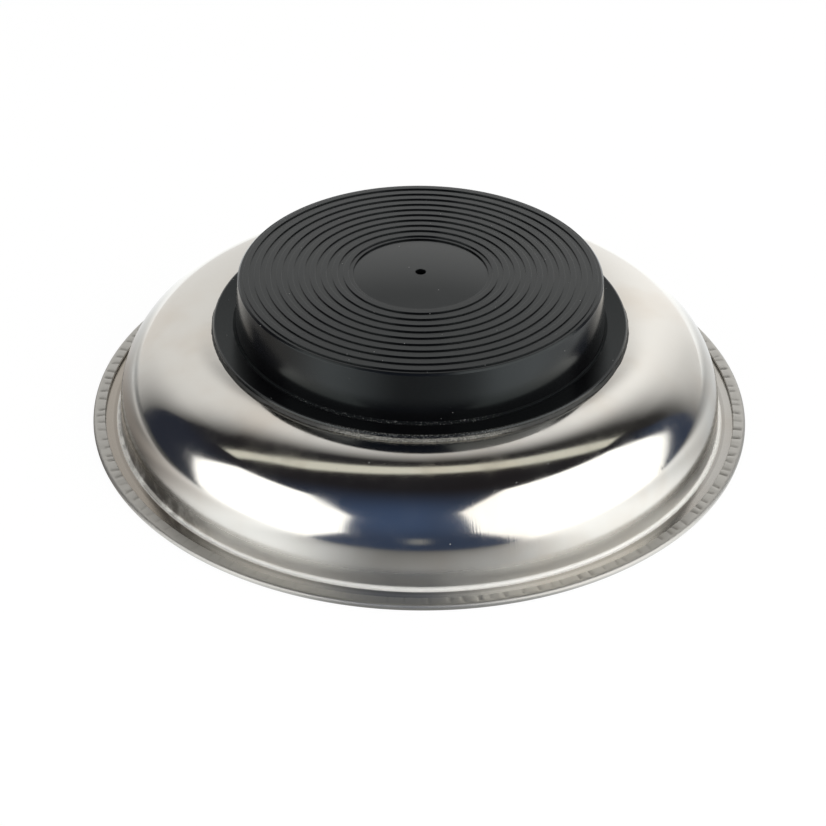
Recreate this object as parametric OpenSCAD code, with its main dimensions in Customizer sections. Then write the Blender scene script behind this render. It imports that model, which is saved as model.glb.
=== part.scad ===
// Round magnetic parts tray, shown bottom up as it stands on its rim.
// A pressed stainless bowl carries a ring magnet on its base, and a ribbed
// rubber cover is glued over the magnet.
// Origin: centre of the plane the rim stands on. +Z points from the rim to
// the ribbed magnet face, so the tray is turned over about X for use.
// All lengths are in millimetres.

/* [Bowl] */
// Outside diameter of the rim
rim_d = 150; // [140:1:200]
// Height of the base's outer face above the rim's plane
bowl_h = 22; // [20:0.1:30]
// Thickness of the stainless sheet
sheet_t = 0.6; // [0.4:0.05:1]
// Outside radius of the gentle curve that leads from the flat base
crown_r = 32; // [24:0.5:36]
// Angle that this curve turns through, in degrees
crown_turn = 22; // [14:1:30]
// Outside radius of the rounded shoulder between that curve and the wall
shoulder_r = 16.6; // [12:0.1:18]
// Lean of the wall from upright, in degrees
wall_lean = 4; // [1:0.5:12]
// Outside radius of the bend between wall and rim
foot_r = 0.7; // [0.5:0.1:3]
// Width of the single flat strip between that bend and the hem
strip_w = 2.75; // [1:0.05:6]

/* [Rim hem] */
// Width of the edge that is folded back
hem_w = 2.8; // [2:0.1:5]
// Gap left between the two layers of the hem
hem_gap = 0.2; // [0.1:0.05:0.6]

/* [Ring magnet] */
// Outside diameter of the ferrite ring
magnet_d = 75; // [65:0.5:80]
// Diameter of the ring's hole
magnet_hole_d = 32; // [20:0.5:45]
// Thickness of the ring
magnet_t = 10; // [6:0.5:15]
// Bevel on the ring's ground edges
magnet_bevel = 0.5; // [0.2:0.1:1]

/* [Adhesive] */
// Thickness of the glue under the magnet and under the cover's flange
glue_t = 0.2; // [0.1:0.05:0.6]
// How far each glue layer stops short of the edges it holds
glue_margin = 0.6; // [0.2:0.1:2]

/* [Magnet cover] */
// Radial room between magnet and cover
cover_clearance = 0.2; // [0.1:0.05:0.6]
// Room between the magnet's free face and the cover's roof
roof_clearance = 0.1; // [0.05:0.05:0.5]
// Side wall of the cover at its top edge
cover_wall = 2.95; // [1.5:0.05:5]
// Roof of the cover under the ribs
cover_roof = 2.25; // [1.5:0.05:5]
// Draft of the cover's side, in degrees
cover_draft = 5.2; // [0:0.1:10]
// Bevel along the cover's top edge
cover_bevel = 0.4; // [0.1:0.1:1]
// Width of the flange beyond the foot of the side
flange_w = 4.95; // [3:0.05:7]
// Thickness of the flange
flange_t = 0.75; // [0.7:0.05:3]
// How far the flange's outer edge stands above its foot, on thicker glue
flange_rise = 0.5; // [0.1:0.05:0.8]
// Radius of the flange's upper edge
flange_edge_r = 0.4; // [0.2:0.05:0.6]

/* [Cover face] */
// Width of one concentric rib
rib_w = 1.25; // [0.8:0.05:2]
// Distance from one rib to the next
rib_pitch = 2.47; // [2.2:0.01:4]
// Height of the ribs
rib_h = 0.45; // [0.2:0.05:1]
// Low ledge between the top edge and the outermost rib
rib_ledge = 1.15; // [0.5:0.05:3]
// Diameter of the round recess in the middle
recess_d = 30.2; // [15:0.1:40]
// Depth of that recess below the foot of the ribs, at its edge
recess_depth = 0.35; // [0.2:0.05:1.5]
// How far the recess's floor bulges up towards its middle
recess_dome = 0.75; // [0.1:0.05:0.75]
// Least flat ring between the recess and the innermost rib
recess_land = 0.7; // [0.4:0.1:3]
// Diameter of the vent hole in the middle of the recess
vent_d = 2.4; // [1:0.1:5]

/* [Hidden] */
$fn = 180;

steel = [0.78, 0.78, 0.76];
rubber = [0.06, 0.06, 0.065];
ferrite = [0.2, 0.2, 0.21];
glue = [0.8, 0.74, 0.58];

// How far a cutting shape runs past the face it cuts.
past = 1;
// How far a rounding crosses the faces that it runs into.
hair = 0.01;

// Bowl section. The bend at the foot, the shoulder and the crown turn about
// the centres bend_at, shoulder_at and crown_at.
rim_r = rim_d / 2;
bend_at = [rim_r - hem_w - strip_w, sheet_t + foot_r];
// Unit vector square to the sheet where the crown runs into the shoulder.
crown_out = [sin(crown_turn), cos(crown_turn)];
crown_z = bowl_h - crown_r;
shoulder_z = crown_z + (crown_r - shoulder_r) * crown_out.y;
// Unit vector square to the wall, pointing out of the bowl.
wall_out = [cos(wall_lean), sin(wall_lean)];
wall_drop = shoulder_z + shoulder_r * wall_out.y - (bend_at.y - foot_r * wall_out.y);
shoulder_x = bend_at.x - (foot_r + shoulder_r) * wall_out.x - wall_drop * tan(wall_lean);
shoulder_at = [shoulder_x, shoulder_z];
// The base is flat up to this radius.
base_r = shoulder_x - (crown_r - shoulder_r) * crown_out.x;
crown_at = [base_r, crown_z];
fold_r = sheet_t + hem_gap / 2;

// Levels of what is glued to the base, from the base upwards.
seat_z = bowl_h + glue_t;
flange_z = seat_z + flange_t;
roof_z = seat_z + magnet_t + roof_clearance;
face_z = roof_z + cover_roof;
rib_z = face_z + rib_h;

// Radii of the magnet and its cover.
magnet_r = magnet_d / 2;
magnet_hole_r = magnet_hole_d / 2;
pocket_r = magnet_r + cover_clearance;
cover_top_r = pocket_r + cover_wall;
cover_foot_r = cover_top_r + (face_z - flange_z) * tan(cover_draft);
flange_r = cover_foot_r + flange_w;
flange_slope = atan(flange_rise / flange_w);
recess_r = recess_d / 2;
recess_z = face_z - recess_depth;
// Radius of the sphere that the recess's floor is part of.
dome_r = (recess_r * recess_r + recess_dome * recess_dome) / (2 * recess_dome);

// The ribs fill the face from its ledge inwards, as far as the recess allows.
first_rib_r = cover_top_r - rib_ledge;
last_rib = floor((first_rib_r - rib_w - recess_r - recess_land) / rib_pitch);

// Ring of rectangular section between two radii and two levels.
module ring(inner_r, outer_r, z, h) {
    translate([0, 0, z])
        difference() {
            cylinder(r = outer_r, h = h);
            translate([0, 0, -past])
                cylinder(r = inner_r, h = h + 2 * past);
        }
}

// Half section of the space under a face that lies `inset` inside the bowl's
// outer face, down to level `low`.
module under_sheet(inset, low) {
    turn_r = shoulder_r - inset;
    bend_r = foot_r + inset;
    wall_top = shoulder_at + (turn_r - hair) * wall_out;
    wall_foot = bend_at - (bend_r + hair) * wall_out;
    wall_end = [wall_foot.x + (wall_foot.y - low) * tan(wall_lean), low];
    translate([0, low])
        square([base_r, bowl_h - inset - low]);
    intersection() {
        translate(crown_at)
            circle(r = crown_r - inset);
        polygon([
            [base_r / 2, shoulder_z - past],
            [shoulder_x, shoulder_z - past],
            shoulder_at,
            crown_at + (crown_r + past) * crown_out,
            [base_r, bowl_h + past],
            [base_r / 2, bowl_h + past],
        ]);
    }
    translate(shoulder_at)
        intersection() {
            circle(r = turn_r + hair);
            translate([-turn_r / 2, -past])
                square(2 * turn_r);
        }
    polygon([[0, low], wall_end, wall_top, shoulder_at, [0, shoulder_z]]);
    difference() {
        polygon([[0, low], [bend_at.x, low], bend_at, wall_foot - past * wall_out]);
        translate(bend_at)
            circle(r = bend_r + 2 * hair);
    }
}

// Half section of the sheet at the rim, with its edge folded back.
module rim_section() {
    square([rim_r - fold_r, sheet_t]);
    difference() {
        union() {
            translate([rim_r - hem_w, 0])
                square([hem_w - fold_r, 2 * fold_r]);
            translate([rim_r - fold_r, fold_r])
                circle(r = fold_r);
        }
        translate([rim_r - hem_w - past, sheet_t])
            square([hem_w - fold_r + past, hem_gap]);
        translate([rim_r - fold_r, fold_r])
            circle(r = hem_gap / 2);
    }
}

module bowl() {
    color(steel)
        difference() {
            rotate_extrude() {
                under_sheet(0, 0);
                rim_section();
            }
            rotate_extrude()
                under_sheet(sheet_t, -past);
        }
}

module ring_magnet() {
    inner = magnet_hole_r;
    outer = magnet_r;
    bevel = magnet_bevel;
    color(ferrite)
        translate([0, 0, seat_z])
            rotate_extrude()
                polygon([
                    [inner + bevel, 0],
                    [outer - bevel, 0],
                    [outer, bevel],
                    [outer, magnet_t - bevel],
                    [outer - bevel, magnet_t],
                    [inner + bevel, magnet_t],
                    [inner, magnet_t - bevel],
                    [inner, bevel],
                ]);
}

module magnet_adhesive() {
    margin = magnet_bevel + glue_margin;
    color(glue)
        ring(magnet_hole_r + margin, magnet_r - margin, bowl_h, glue_t);
}

// This layer gets thicker outwards, where the flange rises.
module cover_adhesive() {
    inner = pocket_r + glue_margin;
    outer = flange_r - glue_margin;
    color(glue)
        rotate_extrude()
            polygon([
                [inner, bowl_h],
                [outer, bowl_h],
                [outer, seat_z + (outer - cover_foot_r) * tan(flange_slope)],
                [cover_foot_r, seat_z],
                [inner, seat_z],
            ]);
}

// Half section of the cover's rising flange, with its upper edge rounded.
module flange_section() {
    edge_x = flange_r - flange_edge_r;
    rise = (edge_x - cover_foot_r) * tan(flange_slope);
    edge_at = [edge_x, flange_z + rise - flange_edge_r / cos(flange_slope)];
    slope_up = [-sin(flange_slope), cos(flange_slope)];
    polygon([
        [0, seat_z],
        [cover_foot_r, seat_z],
        [flange_r, seat_z + flange_rise],
        [flange_r, edge_at.y],
        edge_at + flange_edge_r * slope_up,
        [cover_foot_r, flange_z],
        [0, flange_z],
    ]);
    translate(edge_at)
        circle(r = flange_edge_r);
}

// Half section of the drum that stands on the flange.
module drum_section() {
    bevel_z = face_z - cover_bevel;
    bevel_r = cover_top_r + cover_bevel * tan(cover_draft);
    polygon([
        [0, seat_z],
        [cover_foot_r, seat_z],
        [cover_foot_r, flange_z],
        [bevel_r, bevel_z],
        [cover_top_r - cover_bevel, face_z],
        [0, face_z],
    ]);
}

// Half section of what the recess takes out, above its bulging floor.
module recess_section() {
    difference() {
        translate([0, recess_z])
            square([recess_r, recess_depth + rib_h + past]);
        translate([0, recess_z + recess_dome - dome_r])
            circle(r = dome_r, $fn = 8 * $fn);
    }
}

module magnet_cover() {
    color(rubber)
        difference() {
            union() {
                rotate_extrude() {
                    flange_section();
                    drum_section();
                }
                for (i = [0 : last_rib]) {
                    outer_r = first_rib_r - i * rib_pitch;
                    ring(outer_r - rib_w, outer_r, face_z - rib_h, 2 * rib_h);
                }
            }
            translate([0, 0, seat_z - past])
                cylinder(r = pocket_r, h = roof_z - seat_z + past);
            rotate_extrude()
                recess_section();
            translate([0, 0, roof_z - past])
                cylinder(d = vent_d, h = cover_roof + 2 * past);
        }
}

bowl();
ring_magnet();
magnet_adhesive();
magnet_cover();
cover_adhesive();
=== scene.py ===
"""Round magnetic parts tray, shown bottom up on its rim.

A pressed stainless bowl with a hemmed rim carries a ring magnet on its base,
and a ribbed rubber cover is glued over the magnet.
"""

import math
import random

import bpy
from mathutils import Matrix, Vector


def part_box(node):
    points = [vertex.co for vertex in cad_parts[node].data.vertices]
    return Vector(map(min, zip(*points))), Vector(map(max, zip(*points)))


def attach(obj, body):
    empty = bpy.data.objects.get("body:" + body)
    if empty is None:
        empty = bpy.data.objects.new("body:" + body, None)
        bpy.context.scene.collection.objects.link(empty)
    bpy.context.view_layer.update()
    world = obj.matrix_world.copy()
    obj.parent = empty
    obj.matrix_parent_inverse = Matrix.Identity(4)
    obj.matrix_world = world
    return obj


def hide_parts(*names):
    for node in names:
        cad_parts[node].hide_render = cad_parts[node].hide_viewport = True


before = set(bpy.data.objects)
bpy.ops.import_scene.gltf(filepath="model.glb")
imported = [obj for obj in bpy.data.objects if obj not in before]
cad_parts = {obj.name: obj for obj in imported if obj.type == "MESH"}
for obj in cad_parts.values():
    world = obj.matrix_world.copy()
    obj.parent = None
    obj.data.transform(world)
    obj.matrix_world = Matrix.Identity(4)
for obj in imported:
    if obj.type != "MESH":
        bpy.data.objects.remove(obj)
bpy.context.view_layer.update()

bl_info = {
    "name": "Magnetic parts tray",
    "version": (1, 0, 0),
    "blender": (4, 5, 0),
    "location": "View3D > Sidebar > Parts tray",
    "description": "Models a steel parts tray with its ribbed magnet cover",
    "category": "Object",
}

MM = 0.001
BOWL_STEPS = 600
HEM_COLUMNS = 2 * BOWL_STEPS
COVER_STEPS = 480
DOME_STEPS = 10
MERGE_DISTANCE = 1e-6
# a turn sharper than its crease shows as an edge; the crisp one keeps the ribs' tops flat
SOFT_CREASE = math.radians(40)
CRISP_CREASE = math.radians(10)
FLOOR_RADIUS = 2.2
ROOM_RADIUS = 2.4
BOWL_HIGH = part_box("bowl")[1]
COVER_LOW, COVER_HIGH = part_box("magnet_cover")
GLUE_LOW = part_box("cover_adhesive")[0]


def length(name, text, default):
    """A length that a user can change, in metres."""
    return bpy.props.FloatProperty(
        name=name, description=text, default=default, min=0.0, precision=5,
        subtype="DISTANCE", unit="LENGTH")


def angle(name, text, default):
    """An angle that a user can change."""
    return bpy.props.FloatProperty(
        name=name, description=text, default=default, subtype="ANGLE", unit="ROTATION")


def colour(name, text, default):
    """A colour that a user can change."""
    return bpy.props.FloatVectorProperty(
        name=name, description=text, default=default, size=3, min=0.0, max=1.0,
        subtype="COLOR")


class BowlSettings(bpy.types.PropertyGroup):
    """Sizes and colours of the pressed bowl."""

    rim_radius: length("Rim radius", "Outside radius of the rim", BOWL_HIGH.x)
    height: length("Height", "Height of the base above the rim's plane", BOWL_HIGH.z)
    sheet: length("Sheet", "Thickness of the stainless sheet", 0.6 * MM)
    crown_radius: length("Crown radius", "Curve that leads from the flat base", 32 * MM)
    crown_turn: angle("Crown turn", "Angle that the crown turns through", math.radians(22))
    shoulder_radius: length("Shoulder radius", "Curve from crown to wall", 16.6 * MM)
    wall_lean: angle("Wall lean", "Lean of the wall from upright", math.radians(4))
    foot_radius: length("Foot radius", "Bend between wall and rim", 0.7 * MM)
    strip: length("Strip", "Flat strip between the bend and the hem", 2.75 * MM)
    hem: length("Hem", "Width of the edge that is folded back", 2.8 * MM)
    hem_gap: length("Hem gap", "Gap between the two layers of the hem", 0.2 * MM)
    crimp_depth: length("Crimp depth", "Depth of the wrinkles in the hem", 0.16 * MM)
    pucker: length("Pucker", "Height of the hem between two wrinkles", 0.09 * MM)
    crimps: bpy.props.IntProperty(
        name="Crimps", description="Wrinkles round the hem", default=148, min=1)
    steel: colour("Steel", "Clean stainless sheet", (0.635, 0.62, 0.585))
    stain: colour("Stain", "Faint warm stain on the sheet", (0.56, 0.50, 0.43))
    hem_steel: colour("Hem steel", "Duller steel of the folded hem", (0.46, 0.45, 0.425))
    bend_steel: colour("Bend steel", "Frosted steel of the bend at the foot", (0.82, 0.81, 0.78))
    # this colour is also lifted along the bend as a painted highlight line
    dust: colour("Dust", "Pale specks of dust", (0.55, 0.55, 0.53))


class CoverSettings(bpy.types.PropertyGroup):
    """Sizes and colours of the rubber cover."""

    flange_radius: length("Flange radius", "Outside radius of the flange", COVER_HIGH.x)
    seat: length("Seat", "Level of the flange's underside", COVER_LOW.z)
    rib_top: length("Rib top", "Level of the ribs' tops", COVER_HIGH.z)
    flange: length("Flange", "Thickness of the flange", 0.75 * MM)
    flange_width: length("Flange width", "Flange beyond the drum's foot", 4.95 * MM)
    flange_rise: length("Flange rise", "How far the flange's edge stands up", 0.5 * MM)
    top_radius: length("Top radius", "Radius of the drum's top edge", 40.65 * MM)
    bevel: length("Bevel", "Bevel along the drum's top edge", 0.4 * MM)
    roof: length("Roof", "Thickness of the roof under the ribs", 2.4 * MM)
    pocket_radius: length("Pocket radius", "Room for the magnet", 37.7 * MM)
    rib_height: length("Rib height", "Height of the ribs", 0.3 * MM)
    rib_width: length("Rib width", "Width of one rib", 1.25 * MM)
    rib_pitch: length("Rib pitch", "Distance from rib to rib", 2.47 * MM)
    rib_ledge: length("Ledge", "Ledge outside the first rib", 1.15 * MM)
    ribs: bpy.props.IntProperty(
        name="Ribs", description="Concentric ribs on the face", default=10, min=1)
    recess_radius: length("Recess radius", "Round recess in the middle", 15.1 * MM)
    recess_depth: length("Recess depth", "Depth of the recess at its edge", 0.35 * MM)
    recess_dome: length("Recess dome", "How far its floor bulges up", 0.6 * MM)
    vent_radius: length("Vent radius", "Small hole in the middle", 1.2 * MM)
    rubber: colour("Rubber", "Black moulded rubber", (0.004, 0.004, 0.0045))
    dust: colour("Dust", "Dust and scuffs on the rubber", (0.30, 0.30, 0.29))


class GlueSettings(bpy.types.PropertyGroup):
    """Sizes and colours of the glue and the magnet."""

    inner_radius: length("Inner radius", "Inside of the glue ring", 38.3 * MM)
    bead_width: length("Bead width", "Glue squeezed out past the flange", 0.42 * MM)
    bead_height: length("Bead height", "Height of that bead", 0.7 * MM)
    lumps: length("Lumps", "Unevenness of the bead", 0.3 * MM)
    glue: colour("Glue", "Dried adhesive", (0.34, 0.33, 0.29))
    grit: colour("Grit", "Dark grit in the adhesive", (0.05, 0.05, 0.045))
    ferrite: colour("Ferrite", "Pressed ferrite", (0.055, 0.056, 0.060))


class StageSettings(bpy.types.PropertyGroup):
    """Camera, lamps and surroundings."""

    camera_distance: length("Camera distance", "In front of the middle", 387.37 * MM)
    camera_height: length("Camera height", "Above the floor", 267.59 * MM)
    camera_pitch: angle("Pitch", "How far the camera looks down", math.radians(34.978))
    camera_yaw: angle("Yaw", "How far it looks to the left", math.radians(0.166))
    camera_roll: angle("Roll", "How far it leans", math.radians(0.471))
    lens: bpy.props.FloatProperty(
        name="Lens", description="Focal length on a 36 mm sensor", default=88.311, unit="CAMERA")
    lens_shift: bpy.props.FloatProperty(
        name="Lens shift", description="Sideways shift of the picture", default=-0.00174)
    lamp_level: bpy.props.FloatProperty(
        name="Lamp level", description="Radiance of the two softboxes", default=2.0)
    floor: colour("Floor", "Pale floor", (0.84, 0.84, 0.83))
    room: colour("Room", "Dim room behind the camera", (0.06, 0.097, 0.19))


class Wire:
    """One output of a node tree, with sums written as Python expressions."""

    def __init__(self, tree, socket=None):
        self.tree = tree
        self.socket = socket

    def node(self, kind, settings=None, sockets=None, out=0):
        """Adds a node, sets it, fills or links its sockets and returns one output."""
        made = self.tree.nodes.new(kind)
        for key, value in (settings or {}).items():
            setattr(made, key, value)
        for key, value in (sockets or {}).items():
            if isinstance(value, Wire):
                self.tree.links.new(value.socket, made.inputs[key])
            else:
                made.inputs[key].default_value = value
        return Wire(self.tree, made.outputs[out])

    def out(self, name):
        """Another output of the same node."""
        return Wire(self.tree, self.socket.node.outputs[name])

    def close(self, kind="ShaderNodeOutputMaterial"):
        """Ends the tree with this output as its surface."""
        end = self.tree.nodes.new(kind)
        self.tree.links.new(self.socket, end.inputs["Surface"])

    def math(self, operation, first, second):
        """One sum of two values."""
        return self.node("ShaderNodeMath", {"operation": operation}, {0: first, 1: second})

    def __add__(self, other):
        return self.math("ADD", self, other)

    def __radd__(self, other):
        return self.math("ADD", other, self)

    def __sub__(self, other):
        return self.math("SUBTRACT", self, other)

    def __rsub__(self, other):
        return self.math("SUBTRACT", other, self)

    def __mul__(self, other):
        return self.math("MULTIPLY", self, other)

    def __rmul__(self, other):
        return self.math("MULTIPLY", other, self)

    def __truediv__(self, other):
        return self.math("DIVIDE", self, other)

    def __rtruediv__(self, other):
        return self.math("DIVIDE", other, self)

    def __pow__(self, other):
        return self.math("POWER", self, other)

    def __abs__(self):
        return self.math("ABSOLUTE", self, 0.0)

    def rise(self, low, high):
        """0 below one value, 1 above the other and a smooth step between."""
        return self.node("ShaderNodeMapRange", {"interpolation_type": "SMOOTHSTEP"},
                         {"Value": self, "From Min": low, "From Max": high})

    def band(self, low, high, soft):
        """1 between two values, with soft ends."""
        return self.rise(low - soft, low + soft) * (1.0 - self.rise(high - soft, high + soft))

    def noise(self, scale, detail=2.0, rough=0.5):
        """Noise over this vector."""
        return self.node("ShaderNodeTexNoise", None, {
            "Vector": self, "Scale": scale, "Detail": detail, "Roughness": rough})

    def vector(self, x, y, z):
        """A vector from its three parts."""
        return self.node("ShaderNodeCombineXYZ", None, {"X": x, "Y": y, "Z": z})

    def tint(self, factor, first, second):
        """Mixes two colours."""
        return self.node("ShaderNodeMix", {"data_type": "RGBA"},
                         {0: factor, 6: first, 7: second}, out=2)


def rgba(shade, factor=1.0):
    """A colour with full alpha, made lighter or darker."""
    return (shade[0] * factor, shade[1] * factor, shade[2] * factor, 1.0)


def new_finish(name):
    """A material with an empty node tree, and the place of a point in millimetres."""
    finish = bpy.data.materials.new(name)
    finish.use_nodes = True
    finish.node_tree.nodes.clear()
    start = Wire(finish.node_tree)
    place = start.node("ShaderNodeTexCoord", out="Object")
    place = start.node("ShaderNodeVectorMath", {"operation": "SCALE"},
                       {"Vector": place, "Scale": 1.0 / MM})
    return finish, place


def polar(place):
    """Radius, height and the two parts of the direction round the axis."""
    x = place.node("ShaderNodeSeparateXYZ", None, {"Vector": place})
    y = x.out("Y")
    z = x.out("Z")
    radius = (x * x + y * y) ** 0.5
    return radius, z, x / radius, y / radius


def show(finish, start, sockets):
    """Closes a material with one Principled shader."""
    start.node("ShaderNodeBsdfPrincipled", None, sockets).close()
    return finish


def bump(height):
    """A normal from a height in millimetres."""
    return height.node("ShaderNodeBump", None, {
        "Strength": 1.0, "Distance": MM, "Height": height})


def dots(place, scale, size, rarity):
    """Small round specks, thinly scattered."""
    cells = place.node("ShaderNodeTexVoronoi", {"feature": "F1"},
                       {"Vector": place, "Scale": scale}, out="Distance")
    chance = cells.node("ShaderNodeSeparateXYZ", None, {"Vector": cells.out("Color")})
    return (1.0 - cells.rise(0.4 * size, size)) * chance.rise(rarity - 0.01, rarity + 0.01)


def steel_finish(bowl):
    """Satin stainless: drawing grain along the wall, smudges, stains and a dull hem, with a
    painted highlight along the bend at the foot and painted shade in the corner beside it and in
    the hem's wrinkles.
    """
    finish, place = new_finish("satin_stainless")
    radius, z, cosine, sine = polar(place)
    hem_in = (bowl.rim_radius - bowl.hem) / MM
    strip_in = hem_in - bowl.strip / MM

    # unevenness: drawing grain, soft waves, smudges, stains and hairlines
    along = radius - z
    grain_turn = place.vector(cosine * 230.0, sine * 230.0, along * 0.05)
    fine_turn = place.vector(cosine * 520.0, sine * 520.0, along * 0.12)
    grain = grain_turn.noise(1.0, 2.0, 0.5)
    fine = fine_turn.noise(1.0, 2.0, 0.6)
    waves = place.noise(0.07, 1.0, 0.4)
    smudge = place.noise(0.11, 4.0, 0.6).rise(0.45, 0.75)
    blotch = place.noise(0.045, 3.0, 0.55).rise(0.45, 0.75)
    hair_field = place.node("ShaderNodeTexNoise", None, {
        "Vector": place, "Scale": 0.16, "Detail": 1.0, "Distortion": 1.2})
    hair = 1.0 - abs(hair_field - 0.5).rise(0.0, 0.004)
    specks = dots(place, 0.3, 0.045, 0.9)

    # zones, each 1 inside and 0 outside, with heights above the rim's plane
    crimp = place.node("ShaderNodeAttribute", {"attribute_name": "crimp"}, out="Fac")
    drawn = (1.0 - z.rise(12.0, 17.5)) * (0.45 + 0.55 * cosine.rise(-0.3, 0.5))
    low = 1.0 - z.rise(1.7, 2.2)
    hem = radius.rise(hem_in - 0.2, hem_in + 0.1)
    rim = radius.rise(strip_in + 0.05, strip_in + 0.35) * low
    strip = rim * (1.0 - hem)
    worn = (1.0 - z.rise(2.5, 12.0)) * (1.0 - rim)
    foot = (1.0 - z.rise(2.0, 6.0)) * (1.0 - rim)
    bend = radius.band(strip_in - 0.75, strip_in + 0.05, 0.1) * (1.0 - z.rise(1.2, 1.45))
    # painted shade on the strip where it meets the bend
    corner_shade = radius.band(strip_in + 0.15, strip_in + 0.95, 0.2) * low
    left = (0.0 - cosine - 0.25 * sine).rise(0.78, 0.95)
    soiled = left * (1.0 - z.rise(2.0, 8.0)) * place.noise(0.35, 3.0, 0.6).rise(0.25, 0.6)
    soiled = soiled * (1.0 - radius.rise(strip_in - 0.25, strip_in + 0.05))

    height = grain * drawn * 0.010 + fine * 0.0008 + waves * 0.015 - hair * 0.0008
    dull = 0.10 - 0.03 * z.rise(15.0, 18.0) + smudge * 0.06 + fine * 0.04
    dull = dull + worn * 0.12 + foot * 0.16 + bend * 0.3
    dull = dull + rim * 0.05 + hem * 0.24 + crimp * 0.2
    clean = place.tint(blotch * 0.5, rgba(bowl.steel), rgba(bowl.stain))
    folded = place.tint(hem, clean, rgba(bowl.hem_steel))
    rubbed = place.tint(foot * 0.45, folded, rgba(bowl.bend_steel))
    tarnished = place.tint(strip * (1.0 - left) * 0.45, rubbed, rgba(bowl.hem_steel, 0.4))
    aged = place.tint(strip * left * 0.85, tarnished, rgba(bowl.stain, 0.6))
    # painted shade in the corner beside the bend, and a real stain low on the left wall
    shaded_and_soiled = place.tint(corner_shade * 0.25 + soiled * 0.75, aged, rgba(bowl.stain, 0.2))
    # partly frosted steel and partly a painted highlight: the bend is lifted to a light line
    bend_highlight = place.tint(bend * (1.0 - 0.5 * soiled), shaded_and_soiled, rgba(bowl.bend_steel, 1.15))
    # painted shade darkens the hem along its wrinkles
    crease_shaded = place.tint(crimp * 0.7, bend_highlight, rgba(bowl.stain, 0.2))
    shade = place.tint(specks, crease_shaded, rgba(bowl.dust))
    return show(finish, place, {
        "Base Color": shade, "Metallic": 1.0 - specks, "Roughness": dull,
        "Normal": bump(height)})


def rubber_finish(cover):
    """Black moulded rubber: fine grain, scuffs, dust specks and a gritty flange edge."""
    finish, place = new_finish("black_rubber")
    radius, z, cosine, sine = polar(place)
    face_z = (cover.rib_top - cover.rib_height) / MM
    flange_z = (cover.seat + cover.flange) / MM
    flange_out = cover.flange_radius / MM
    drum_foot = flange_out - cover.flange_width / MM

    # unevenness: pores, scuffs, dust and grit
    pores = place.noise(3.2, 3.0, 0.6)
    scuff = place.noise(0.13, 4.0, 0.6).rise(0.45, 0.75)
    round_turn = place.vector(cosine * 9.0, sine * 9.0, radius * 1.6)
    rubbed = round_turn.noise(1.0, 3.0, 0.6)
    specks = dots(place, 0.42, 0.055, 0.6)
    grit = place.noise(2.6, 3.0, 0.7)

    # zones, each 1 inside and 0 outside
    top = z.rise(face_z - 0.9, face_z - 0.6)
    shiny = z.rise(flange_z + 3.05, flange_z + 6.55)
    flange = 1.0 - z.rise(flange_z + 0.65, flange_z + 0.95)
    edge = radius.rise(flange_out - 0.55, flange_out - 0.25)
    edge = edge * (1.0 - z.rise(flange_z + 0.55, flange_z + 0.65))
    foot = radius.band(drum_foot - 0.2, drum_foot + 0.5, 0.12)
    foot = foot * (1.0 - z.rise(flange_z + 0.35, flange_z + 0.65))
    near = (0.0 - sine).rise(0.88, 0.96)
    spread = (0.0 - sine).rise(0.7, 0.85) * (0.45 - cosine).rise(0.0, 0.15)

    gritty = edge * grit.rise(0.48, 0.66) * (0.05 + 0.3 * near)
    gritty = gritty + foot * grit.rise(0.56, 0.64) * spread * 0.5
    dusty = specks + gritty + top * scuff * rubbed.rise(0.5, 0.8) * 0.05
    shade = place.tint(dusty, rgba(cover.rubber), rgba(cover.dust))
    dull = 0.13 + top * 0.06 + pores * 0.05 + scuff * 0.05 + gritty * 0.3 + foot * 0.4
    dull = dull + flange * 0.06
    gloss = 0.03 - flange * 0.03 + shiny * 0.34 + edge * 0.6
    height = pores * (0.001 + top * 0.004) + gritty * 0.04 + specks * 0.02
    return show(finish, place, {
        "Base Color": shade, "Roughness": dull, "Normal": bump(height),
        "Specular IOR Level": 0.2, "Specular Tint": (0.8, 0.98, 1.0, 1.0),
        "Coat Weight": gloss, "Coat Roughness": 0.2})


def glue_finish(name, glue):
    """Dried glue with dark grit in it."""
    finish, place = new_finish(name)
    sine = polar(place)[3]
    near = (0.0 - sine).rise(0.88, 0.96)
    grit = place.noise(3.0, 4.0, 0.7)
    cloud = place.noise(0.5, 2.0, 0.5)
    shade = place.tint(grit.rise(0.42, 0.60), rgba(glue.grit), rgba(glue.glue))
    shade = place.tint(cloud * 0.5, shade, rgba(glue.glue, 0.6))
    # the glue is made much darker everywhere but on the side towards the camera
    shade = place.tint(near, rgba(glue.grit, 0.4), shade)
    return show(finish, place, {
        "Base Color": shade, "Roughness": 0.35 + grit * 0.3, "Normal": bump(grit * 0.05)})


def ferrite_finish(glue):
    """Pressed and ground ferrite."""
    finish, place = new_finish("pressed_ferrite")
    grains = place.noise(4.0, 3.0, 0.7)
    cloud = place.noise(0.2, 3.0, 0.5)
    shade = place.tint(grains.rise(0.4, 0.7), rgba(glue.ferrite, 0.7), rgba(glue.ferrite, 1.5))
    return show(finish, place, {
        "Base Color": shade, "Roughness": 0.45 + cloud * 0.3, "Normal": bump(grains * 0.02)})


def tilted(centre, radius, tilt):
    """The point of a circle that lies at a tilt from straight up."""
    return centre + radius * Vector((math.sin(tilt), math.cos(tilt)))


def arc(centre, radius, first, last, steps):
    """Points on a circle from one tilt to another."""
    return [tilted(centre, radius, first + (last - first) * i / steps)
            for i in range(steps + 1)]


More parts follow.
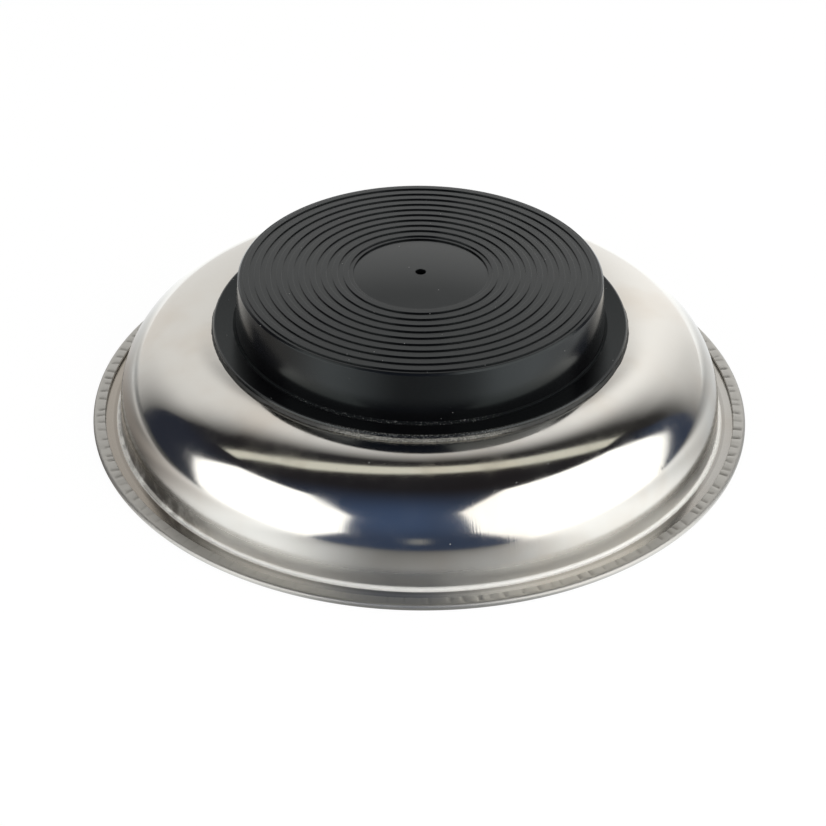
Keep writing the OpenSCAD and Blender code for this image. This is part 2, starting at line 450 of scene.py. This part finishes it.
def draw_section(name, points):
    """Draws a half section as a wire, from a plane whose corners merge to one point."""
    bpy.ops.object.select_all(action="DESELECT")
    bpy.ops.mesh.primitive_plane_add(size=0.01, location=(0, 0, 0))
    piece = bpy.context.object
    piece.name = name
    piece.data.name = name
    bpy.ops.object.mode_set(mode="EDIT")
    bpy.ops.mesh.select_mode(type="VERT")
    bpy.ops.mesh.select_all(action="SELECT")
    bpy.ops.mesh.merge(type="CENTER")
    here = Vector((0.0, 0.0))
    for number, point in enumerate(points):
        step = (point[0] - here[0], 0.0, point[1] - here[1])
        if number == 0:
            bpy.ops.transform.translate(value=step)
        else:
            bpy.ops.mesh.extrude_vertices_move(TRANSFORM_OT_translate={"value": step})
        here = Vector(point[:2])
    return piece


def clamp(value):
    """Keeps a value between 0 and 1."""
    return max(0.0, min(1.0, value))


def axis_distance(vertex):
    """How far a point lies from the tray's axis."""
    return math.hypot(vertex.co.x, vertex.co.y)


def select_places(piece, test):
    """Selects the points of a piece whose radius and height pass a test."""
    bpy.ops.object.mode_set(mode="OBJECT")
    mesh = piece.data
    mesh.polygons.foreach_set("select", [False] * len(mesh.polygons))
    mesh.edges.foreach_set("select", [False] * len(mesh.edges))
    flags = [test(axis_distance(vertex), vertex.co.z) for vertex in mesh.vertices]
    mesh.vertices.foreach_set("select", flags)
    bpy.ops.object.mode_set(mode="EDIT")
    return sum(flags)


def apply_modifier(piece, kind, settings):
    """Adds one modifier, sets it and applies it."""
    modifier = piece.modifiers.new(kind.lower(), kind)
    for key, value in settings.items():
        setattr(modifier, key, value)
    bpy.ops.object.modifier_apply(modifier=modifier.name)


def spin_section(piece, steps, crease):
    """Turns the wire about the axis, closes it and smooths the turns below the crease angle."""
    bpy.ops.object.mode_set(mode="OBJECT")
    apply_modifier(piece, "SCREW", {
        "axis": "Z", "angle": math.tau, "steps": steps, "render_steps": steps,
        "use_merge_vertices": True, "merge_threshold": MERGE_DISTANCE})
    bpy.ops.object.mode_set(mode="EDIT")
    bpy.ops.mesh.select_all(action="SELECT")
    bpy.ops.mesh.remove_doubles(threshold=MERGE_DISTANCE)
    bpy.ops.mesh.normals_make_consistent(inside=False)
    bpy.ops.object.mode_set(mode="OBJECT")
    bpy.ops.object.shade_smooth_by_angle(angle=crease)


def weigh(piece, name, weights):
    """Keeps a weight for each listed point as a vertex group."""
    group = piece.vertex_groups.new(name=name)
    for index, weight in weights.items():
        group.add([index], weight, "REPLACE")


def finish_piece(piece, material, node):
    """Gives a piece its material and ties it to the frame."""
    piece.data.materials.clear()
    piece.data.materials.append(material)
    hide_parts(node)
    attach(piece, "root")


class TRAY_OT_bowl(bpy.types.Operator):
    """Press the steel bowl, fold its rim back and wrinkle the hem"""

    bl_idname = "tray.bowl"
    bl_label = "Steel bowl"

    def execute(self, context):
        bowl = context.scene.tray_bowl
        piece = draw_section("steel_bowl", self.section(bowl))
        spin_section(piece, BOWL_STEPS, SOFT_CREASE)
        self.crimp(piece, bowl)
        finish_piece(piece, steel_finish(bowl), "bowl")
        return {"FINISHED"}

    def section(self, bowl):
        """Half section of the sheet, from the outer face round the hem to the inner face."""
        rim, sheet, foot = bowl.rim_radius, bowl.sheet, bowl.foot_radius
        fold = sheet + bowl.hem_gap / 2
        bend_at = Vector((rim - bowl.hem - bowl.strip, sheet + foot))
        lean = math.pi / 2 - bowl.wall_lean
        turn = bowl.crown_turn
        slack = bowl.crown_radius - bowl.shoulder_radius
        crown_z = bowl.height - bowl.crown_radius
        shoulder_z = crown_z + slack * math.cos(turn)
        wall_top = shoulder_z + bowl.shoulder_radius * math.cos(lean)
        wall_foot = bend_at.y - foot * math.cos(lean)
        shoulder_x = (bend_at.x - (foot + bowl.shoulder_radius) * math.sin(lean)
                      - (wall_top - wall_foot) * math.tan(bowl.wall_lean))
        shoulder_at = Vector((shoulder_x, shoulder_z))
        crown_at = Vector((shoulder_x - slack * math.sin(turn), crown_z))
        fold_at = Vector((rim - fold, fold))
        hem_in = rim - bowl.hem
        soft = 0.1 * MM
        top = 2 * fold

        def face(inset, fine):
            """The bowl's face from axis to foot, at a depth inside the sheet."""
            level = bowl.height - inset
            flat = [Vector((crown_at.x * part, level)) for part in (0, 0.35, 0.7, 0.97)]
            crown = arc(crown_at, bowl.crown_radius - inset, 0, turn, 6 * fine)
            shoulder = arc(shoulder_at, bowl.shoulder_radius - inset, turn, lean, 12 * fine)
            bend = arc(bend_at, -foot - inset, lean, 0, 7)
            return flat + crown + shoulder[1:] + bend

        outer = face(0, 2)
        strip = [Vector((rim - bowl.hem + 0.4 * MM, sheet))]
        gap = arc(fold_at, bowl.hem_gap / 2, math.pi, 0, 4)
        lip = [Vector((hem_in + soft, top - sheet)), Vector((hem_in, top - sheet + soft)),
               Vector((hem_in, top - soft)), Vector((hem_in + soft, top))]
        rings = [Vector((hem_in + soft + (fold_at.x - hem_in - soft) * i / 6, top))
                 for i in range(1, 6)]
        edge = arc(fold_at, fold, 0, math.pi, 12)
        under = [Vector((hem_in + 0.8 * MM, 0.0)), Vector((hem_in - 0.6 * MM, 0.0))]
        inner = face(sheet, 1)
        return outer + strip + gap + lip + rings + edge + under + inner[::-1]

    def crimp(self, piece, bowl):
        """Presses wrinkles into the hem and lets it pucker between them."""
        fold = bowl.sheet + bowl.hem_gap / 2
        hem_in = bowl.rim_radius - bowl.hem
        hem_out = bowl.rim_radius - fold
        floor = 2 * fold - 0.15 * MM
        mesh = piece.data
        self.split_hem(mesh, hem_in, floor)
        wrinkles = self.draw_wrinkles(bowl.crimps)
        dents, puckers = {}, {}
        for vertex in mesh.vertices:
            out = (axis_distance(vertex) - hem_in) / (hem_out - hem_in)
            if vertex.co.z < floor or not -0.01 <= out <= 1.2:
                continue
            turned = math.atan2(vertex.co.y, vertex.co.x) / math.tau % 1.0 * HEM_COLUMNS
            dents[vertex.index], puckers[vertex.index] = self.press(wrinkles, turned, out)
        weigh(piece, "dents", dents)
        weigh(piece, "puckers", puckers)
        values = [dents.get(i, 0.0) for i in range(len(mesh.vertices))]
        mesh.attributes.new("crimp", "FLOAT", "POINT").data.foreach_set("value", values)
        for group, strength in (("dents", -bowl.crimp_depth), ("puckers", bowl.pucker)):
            apply_modifier(piece, "DISPLACE", {
                "direction": "Z", "mid_level": 0.0, "strength": strength,
                "vertex_group": group})

    def split_hem(self, mesh, hem_in, floor):
        """Halves the hem's steps round its circle, above a level."""
        near = 0.01 * MM
        mesh.polygons.foreach_set("select", [False] * len(mesh.polygons))
        mesh.vertices.foreach_set("select", [False] * len(mesh.vertices))
        chosen = []
        for edge in mesh.edges:
            one, two = (mesh.vertices[i] for i in edge.vertices)
            out = axis_distance(one)
            level = abs(one.co.z - two.co.z) < near and abs(out - axis_distance(two)) < near
            chosen.append(level and one.co.z > floor and out > hem_in - near)
        mesh.edges.foreach_set("select", chosen)
        bpy.ops.object.mode_set(mode="EDIT")
        bpy.ops.mesh.select_mode(type="EDGE")
        bpy.ops.mesh.subdivide(number_cuts=1)
        bpy.ops.mesh.select_mode(type="VERT")
        bpy.ops.object.mode_set(mode="OBJECT")

    def draw_wrinkles(self, count):
        """Column, depth, reach and slant of each wrinkle, worn shallow near the camera."""
        draw = random.Random(7)
        wrinkles = []
        for number in range(count):
            column = (number + draw.uniform(-0.3, 0.3)) * HEM_COLUMNS / count
            worn = math.exp(-((column / HEM_COLUMNS * 360 - 250) / 42) ** 2)
            wrinkles.append((column, draw.uniform(0.4, 1.0) * (1 - 0.8 * worn),
                             draw.uniform(0.75, 1.1), draw.uniform(-1.5, 1.5)))
        return wrinkles

    def press(self, wrinkles, turned, out):
        """How deep the hem is dented, and how far it puckers, at one place."""
        number = int(turned / HEM_COLUMNS * len(wrinkles))
        apart = []
        for nearby in range(number - 2, number + 3):
            column, deep, far, slant = wrinkles[nearby % len(wrinkles)]
            aside = (turned - column + HEM_COLUMNS / 2) % HEM_COLUMNS - HEM_COLUMNS / 2
            aside -= slant * (out - 0.4)
            apart.append((abs(aside), aside, deep, clamp((far - out) / 0.25)))
        apart.sort()
        away, aside, deep, fade = apart[0]
        beyond = [other[0] for other in apart if other[1] * aside <= 0.0 and other[0] > away]
        span = away + (beyond[0] if beyond else away)
        rise = math.sin(math.pi * away / span) if span else 0.0
        return deep * fade * clamp(1.0 - away), rise * deep * clamp((1.15 - out) / 0.4)


class TRAY_OT_cover(bpy.types.Operator):
    """Mould the ribbed rubber cover with its flange, pocket and vent hole"""

    bl_idname = "tray.cover"
    bl_label = "Rubber cover"

    def execute(self, context):
        cover = context.scene.tray_cover
        corners = self.section(cover)
        piece = draw_section("rubber_cover", corners + corners[:1])
        bpy.ops.mesh.select_all(action="SELECT")
        bpy.ops.mesh.remove_doubles(threshold=MERGE_DISTANCE)
        for radius in sorted({corner[2] for corner in corners if corner[2]}, reverse=True):
            self.round_corners(piece, corners, radius)
        spin_section(piece, COVER_STEPS, CRISP_CREASE)
        self.roughen_foot(piece, cover)
        finish_piece(piece, rubber_finish(cover), "magnet_cover")
        return {"FINISHED"}

    def section(self, cover):
        """Corners of the half section as radius, height and rounding."""
        face = cover.rib_top - cover.rib_height
        roof = face - cover.roof
        floor = face - cover.recess_depth
        flange = cover.seat + cover.flange
        foot = cover.flange_radius - cover.flange_width
        bevel_z = face - cover.bevel
        bevel_r = foot + (cover.top_radius - foot) * (bevel_z - flange) / (face - flange)
        crisp, easy, full, flange_edge = 0.04 * MM, 0.07 * MM, 0.1 * MM, 0.4 * MM
        middle, edge, bulge = cover.vent_radius, cover.recess_radius, cover.recess_dome
        dome_r = (edge * edge + bulge * bulge) / (2 * bulge)
        corners = [(middle, roof, 0.0)]
        for step in range(DOME_STEPS + 1):
            out = middle + (edge - middle) * step / DOME_STEPS
            level = floor + bulge - dome_r + math.sqrt(dome_r ** 2 - out ** 2)
            corners.append((out, level, easy if step == 0 else 0.0))
        corners.append((edge, face, easy))
        first = cover.top_radius - cover.rib_ledge
        for number in reversed(range(cover.ribs)):
            outer = first - number * cover.rib_pitch
            inner = outer - cover.rib_width
            corners += [(inner, face, crisp), (inner, cover.rib_top, easy),
                        (outer, cover.rib_top, easy), (outer, face, crisp)]
        # rings close to the foot keep its uneven line from tilting the faces beyond them
        above = [(foot + (cover.top_radius - foot) * part, flange + (face - flange) * part, 0.0)
                 for part in (0.07, 0.045)]
        beside = [(foot + cover.flange_width * part, flange + cover.flange_rise * part, 0.0)
                  for part in (0.11, 0.18)]
        corners += [
            (cover.top_radius - cover.bevel, face, easy),
            (bevel_r, bevel_z, easy),
            *above,
            (foot, flange, full),
            *beside,
            (cover.flange_radius, flange + cover.flange_rise, flange_edge),
            (cover.flange_radius, cover.seat + cover.flange_rise, crisp),
            (foot, cover.seat, 0.0),
            (cover.pocket_radius, cover.seat, easy),
            (cover.pocket_radius, roof, 0.0),
        ]
        return corners

    def round_corners(self, piece, corners, radius):
        """Rounds the corners that share one radius."""
        places = [corner for corner in corners if corner[2] == radius]
        near = 0.002 * MM

        def is_corner(reach, level):
            return any(abs(reach - p[0]) < near and abs(level - p[1]) < near for p in places)

        if select_places(piece, is_corner) != len(places):
            raise RuntimeError("a corner of the cover's section was not found")
        bpy.ops.mesh.bevel(offset=radius, segments=2, affect="VERTICES")

    def roughen_foot(self, piece, cover):
        """Leaves a slightly uneven line where the drum meets the flange."""
        flange = cover.seat + cover.flange
        foot = cover.flange_radius - cover.flange_width
        near = 0.5 * MM
        weights = {}
        for vertex in piece.data.vertices:
            away = math.hypot(axis_distance(vertex) - foot, vertex.co.z - flange)
            if away < near:
                weights[vertex.index] = 1.0 - away / near
        weigh(piece, "foot", weights)
        lumps = bpy.data.textures.new("foot_lumps", "CLOUDS")
        lumps.noise_scale = 0.7 * MM
        apply_modifier(piece, "DISPLACE", {
            "texture": lumps, "mid_level": 0.4, "strength": 0.25 * MM,
            "vertex_group": "foot"})


class TRAY_OT_glue(bpy.types.Operator):
    """Lay the glue ring under the flange, with its bead squeezed out"""

    bl_idname = "tray.glue"
    bl_label = "Glue line"

    def execute(self, context):
        glue = context.scene.tray_glue
        cover = context.scene.tray_cover
        clear = 0.005 * MM
        edge = cover.flange_radius + clear
        corners = self.section(glue, cover, edge, cover.seat - clear)
        piece = draw_section("glue_line", corners + corners[:1])
        spin_section(piece, COVER_STEPS, SOFT_CREASE)
        bead = {vertex.index: 1.0 for vertex in piece.data.vertices
                if axis_distance(vertex) > edge + 0.02 * MM}
        weigh(piece, "bead", bead)
        for scale, share in ((2.6, 1.0), (0.45, 0.8)):
            lumps = bpy.data.textures.new("bead_lumps", "CLOUDS")
            lumps.noise_scale = scale * MM
            apply_modifier(piece, "DISPLACE", {
                "texture": lumps, "mid_level": 0.6, "strength": share * glue.lumps,
                "vertex_group": "bead"})
        finish_piece(piece, glue_finish("gritty_glue", glue), "cover_adhesive")
        return {"FINISHED"}

    def section(self, glue, cover, edge, under):
        """Half section of the ring, with the bead outside the flange's edge."""
        base = GLUE_LOW.z
        foot = cover.flange_radius - cover.flange_width
        tip = edge + glue.bead_width
        high = base + glue.bead_height
        return [
            (glue.inner_radius, base), (edge - 0.5 * MM, base), (edge, base - 0.01 * MM),
            (tip - 0.02 * MM, base - 0.02 * MM), (tip, base + 0.12 * glue.bead_height),
            (tip - 0.1 * MM, base + 0.4 * glue.bead_height),
            (tip - 0.24 * MM, base + 0.75 * glue.bead_height),
            (edge + 0.05 * MM, high), (edge, high - 0.05 * MM),
            (edge, under + cover.flange_rise), (foot, under), (glue.inner_radius, under),
        ]


class TRAY_OT_magnet(bpy.types.Operator):
    """Give the ring magnet and its glue their finishes"""

    bl_idname = "tray.magnet"
    bl_label = "Ring magnet"

    def execute(self, context):
        glue = context.scene.tray_glue
        finishes = {
            "ring_magnet": ferrite_finish(glue),
            "magnet_adhesive": glue_finish("clear_glue", glue),
        }
        for node, finish in finishes.items():
            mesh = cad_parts[node].data
            mesh.materials.clear()
            mesh.materials.append(finish)
        return {"FINISHED"}


def aim(azimuth, elevation, distance):
    """A place seen from the middle of the tray; azimuth 0 lies behind it, 90 to its right."""
    turn, rise = math.radians(azimuth), math.radians(elevation)
    return distance * Vector((math.sin(turn) * math.cos(rise),
                              math.cos(turn) * math.cos(rise), math.sin(rise)))


def facing(place, along):
    """Puts something at a place, with its X axis along a line and its back to the tray."""
    along = Vector(along).normalized()
    away = (place - along * place.dot(along)).normalized()
    turn = Matrix((along, away.cross(along), away)).transposed().to_4x4()
    return Matrix.Translation(place) @ turn


def stage_piece(name, finish):
    """Names the active object and gives it a finish."""
    piece = bpy.context.object
    piece.name = name
    piece.data.materials.append(finish)
    return piece


def add_strip_lamp(name, first, last, width, level, shade):
    """Adds a straight lamp between two places that the camera does not see."""
    bpy.ops.object.light_add(type="AREA")
    lamp = bpy.context.object
    lamp.name = name
    reach = last - first
    lamp.matrix_world = facing((first + last) / 2, reach)
    lamp.visible_camera = False
    lamp.data.shape = "RECTANGLE"
    lamp.data.size = reach.length
    lamp.data.size_y = width
    lamp.data.energy = level * math.pi * reach.length * width
    lamp.data.color = shade


def add_softbox(name, place, radius, turn, level, shade):
    """Adds an eight-sided lamp that faces the tray and that the camera does not see."""
    bpy.ops.mesh.primitive_circle_add(vertices=8, radius=radius, fill_type="NGON")
    finish, start = new_finish(name)
    glow = start.node("ShaderNodeEmission", None, {"Color": rgba(shade), "Strength": level})
    glow.close()
    lamp = stage_piece(name, finish)
    lamp.matrix_world = facing(place, (place.y, -place.x, 0.0)) @ Matrix.Rotation(turn, 4, "Z")
    lamp.visible_camera = False


class TRAY_OT_stage(bpy.types.Operator):
    """Set up the camera, the lamps, the pale floor and the backdrop"""

    bl_idname = "tray.stage"
    bl_label = "Stage"

    def execute(self, context):
        stage = context.scene.tray_stage
        bpy.ops.object.select_all(action="DESELECT")
        context.scene.view_settings.view_transform = "Standard"
        self.place_camera(context, stage)
        self.light_world(context)
        self.lay_floor(stage)
        self.hang_backdrop()
        self.dim_room(stage)
        self.hang_lamps(stage)
        return {"FINISHED"}

    def hang_lamps(self, stage):
        """Two softboxes beside the camera, and two strips that meet over the tray."""
        add_softbox("softbox_right", aim(azimuth=116.5, elevation=29.0, distance=0.913),
                    radius=0.755, turn=0.0, level=stage.lamp_level, shade=(1.0, 1.0, 0.985))
        add_softbox("softbox_left", aim(azimuth=-122.9, elevation=23.0, distance=0.904),
                    radius=0.535, turn=math.radians(-6.0), level=stage.lamp_level,
                    shade=(1.0, 0.995, 0.98))
        middle = Vector((0.0, 0.277, 0.88))
        for name, end in (("strip_right", Vector((0.62, 0.365, 0.88))),
                          ("strip_left", Vector((-0.78, 0.125, 0.88)))):
            add_strip_lamp(name, middle, end, width=0.105, level=0.87, shade=(1.0, 0.99, 0.86))

    def place_camera(self, context, stage):
        """Puts the camera where the photograph was taken from."""
        bpy.ops.object.camera_add()
        camera = context.object
        camera.name = "photo_camera"
        camera.data.lens = stage.lens
        camera.data.sensor_width = 36.0
        camera.data.shift_x = stage.lens_shift
        camera.data.clip_start = 0.01
        place = Matrix.Translation((0.0, -stage.camera_distance, stage.camera_height))
        turn = Matrix.Rotation(stage.camera_yaw, 4, "Z")
        tilt = Matrix.Rotation(math.pi / 2 - stage.camera_pitch, 4, "X")
        lean = Matrix.Rotation(stage.camera_roll, 4, "Z")
        camera.matrix_world = place @ turn @ tilt @ lean
        context.scene.camera = camera

    def light_world(self, context):
        """Shows white behind the floor and lights the tray only a little."""
        world = bpy.data.worlds.new("studio")
        context.scene.world = world
        world.use_nodes = True
        world.node_tree.nodes.clear()
        start = Wire(world.node_tree)
        ray = start.node("ShaderNodeLightPath", out="Is Camera Ray")
        seen = ray + ray.out("Is Glossy Ray") + ray.out("Is Transmission Ray")
        shade = start.tint(seen, (0.06, 0.06, 0.06, 1.0), (1.0, 1.0, 1.0, 1.0))
        sky = start.node("ShaderNodeBackground", None, {"Color": shade, "Strength": 1.0})
        sky.close("ShaderNodeOutputWorld")

    def lay_floor(self, stage):
        """A pale floor: white to the camera, with a soft shadow, and with painted light and
        shade where the steel mirrors it.
        """
        bpy.ops.mesh.primitive_circle_add(vertices=96, radius=FLOOR_RADIUS, fill_type="NGON")
        finish, place = new_finish("pale_floor")
        radius, _, cosine, sine = polar(place)
        right = cosine.rise(-0.35, 0.35)
        beside = 85.0 / radius
        # degrees from straight behind the tray, 0, to the camera's side, 180
        turn = sine.math("ARCCOSINE", sine, 0.0) * math.degrees(1.0)
        # painted brightness of the floor as the steel mirrors it, close to the rim and far off,
        # on each side
        near_left = 0.25 + 1.1 * (1.0 - turn.rise(30, 95)) + 1.0 * turn.band(122, 160, 14)
        far_left = 0.12 + 1.1 * (1.0 - turn.rise(32, 60)) + 1.4 * turn.band(99, 144, 9)
        near_right = 0.68 + 0.75 * (1.0 - turn.rise(25, 90)) + 0.8 * turn.band(112, 150, 14)
        near_right = near_right - 0.3 * turn.rise(145, 178)
        far_right = 0.12 + 1.2 * (1.0 - turn.rise(40, 64)) + 1.4 * turn.band(83, 146, 9)
        near = near_left + (near_right - near_left) * right
        far = far_left + (far_right - far_left) * right
        painted_floor_light = far + (near - far) * beside
        side = (1.0 - right) * turn.band(58, 98, 10)
        painted_floor_light = painted_floor_light + side * (0.32 * radius.band(130, 185, 20) - 0.1 * radius.rise(190, 230))
        brown = (1.0 - right) * turn.band(75, 118, 20) * beside
        ray = place.node("ShaderNodeLightPath", out="Is Camera Ray")
        shiny = ray.out("Is Glossy Ray") + ray.out("Is Transmission Ray")
        warm = place.tint(brown, (1.01, 1.03, 1.04, 1.0), (1.0, 0.9, 0.82, 1.0))
        painted_floor_glow = place.node("ShaderNodeVectorMath", {"operation": "SCALE"},
                           {"Vector": warm, "Scale": painted_floor_light})
        shade = place.tint(ray, painted_floor_glow, (1.0, 1.0, 1.0, 1.0))
        matte = place.node("ShaderNodeBsdfDiffuse", None, {"Color": rgba(stage.floor)})
        glow = place.node("ShaderNodeEmission", None, {"Color": shade, "Strength": 1.035})
        share = ray * 0.92 + shiny * 0.95
        place.node("ShaderNodeMixShader", None, {0: share, 1: matte, 2: glow}).close()
        stage_piece("floor", finish)

    def hang_backdrop(self):
        """A white card behind the tray, bright in its middle and dim at its edges."""
        width, height, behind = 3.4, 1.7, 0.9
        bpy.ops.mesh.primitive_plane_add(
            size=1.0, location=(0.0, behind, height / 2), rotation=(math.pi / 2, 0.0, 0.0))
        bpy.ops.transform.resize(value=(width, 1.0, height))
        bpy.ops.object.transform_apply(location=True, rotation=True, scale=True)
        finish, place = new_finish("white_backdrop")
        x = place.node("ShaderNodeSeparateXYZ", None, {"Vector": place})
        z = x.out("Z")
        high = 1.0 - (z + 0.45 * x.math("MAXIMUM", x, 0.0)).rise(950.0, 1850.0)
        wide = 1.0 - abs(x).rise(550.0, 2050.0)
        lit = 0.95 + 0.4 * x.band(250.0, 560.0, 260.0)
        lit = lit - 0.5 * (1.0 - abs(x).rise(150.0, 420.0)) * z.band(650.0, 790.0, 60.0)
        ray = place.node("ShaderNodeLightPath", out="Is Camera Ray")
        level = place.math("MAXIMUM", high * wide * lit + 0.03, ray)
        glow = place.node("ShaderNodeEmission", None, {
            "Color": (1.0, 0.99, 0.975, 1.0), "Strength": level})
        glow.close()
        stage_piece("backdrop", finish)

    def dim_room(self, stage):
        """A dim room round the set that only reflections show."""
        bpy.ops.mesh.primitive_uv_sphere_add(segments=48, ring_count=24, radius=ROOM_RADIUS)
        finish, place = new_finish("dim_room")
        x = place.node("ShaderNodeSeparateXYZ", None, {"Vector": place})
        y = x.out("Y")
        z = x.out("Z")
        back = 0.0 - y
        wall = back.rise(0.0, 1750.0) * (0.6 + 0.4 * z.rise(500.0, 1500.0))
        sides = 0.45 * x.rise(900.0, 2000.0) + 0.15 * (0.0 - x).rise(900.0, 2000.0)
        wall = wall + sides * (1.0 - z.rise(1200.0, 2000.0))
        patch = (1.0 - abs(x).rise(70.0, 190.0)) * z.band(390.0, 690.0, 80.0)
        shade = place.tint(wall, (0.02, 0.019, 0.022, 1.0), rgba(stage.room))
        shade = place.tint(patch * back.rise(1500.0, 1800.0) * 0.8, shade, (0.4, 0.41, 0.4, 1.0))
        glow = place.node("ShaderNodeEmission", None, {"Color": shade, "Strength": 1.0})
        glow.close()
        room = stage_piece("dim_room", finish)
        room.visible_camera = False


class TRAY_PT_panel(bpy.types.Panel):
    """Lists the tray's pieces and their sizes"""

    bl_idname = "TRAY_PT_panel"
    bl_label = "Parts tray"
    bl_space_type = "VIEW_3D"
    bl_region_type = "UI"
    bl_category = "Parts tray"

    def draw(self, context):
        for operator, settings in STEPS:
            box = self.layout.box()
            box.operator(operator)
            group = getattr(context.scene, settings)
            for name in group.__annotations__:
                box.prop(group, name)


STEPS = (
    ("tray.stage", "tray_stage"),
    ("tray.bowl", "tray_bowl"),
    ("tray.cover", "tray_cover"),
    ("tray.glue", "tray_glue"),
    ("tray.magnet", "tray_glue"),
)
GROUPS = {
    "tray_bowl": BowlSettings,
    "tray_cover": CoverSettings,
    "tray_glue": GlueSettings,
    "tray_stage": StageSettings,
}
CLASSES = (TRAY_OT_stage, TRAY_OT_bowl, TRAY_OT_cover, TRAY_OT_glue, TRAY_OT_magnet,
           TRAY_PT_panel)


def register():
    for name, group in GROUPS.items():
        bpy.utils.register_class(group)
        setattr(bpy.types.Scene, name, bpy.props.PointerProperty(type=group))
    for kind in CLASSES:
        bpy.utils.register_class(kind)


def unregister():
    for kind in reversed(CLASSES):
        bpy.utils.unregister_class(kind)
    for name, group in GROUPS.items():
        delattr(bpy.types.Scene, name)
        bpy.utils.unregister_class(group)


def main():
    register()
    bpy.ops.tray.stage()
    bpy.ops.tray.bowl()
    bpy.ops.tray.cover()
    bpy.ops.tray.glue()
    bpy.ops.tray.magnet()


if __name__ == "__main__":
    main()
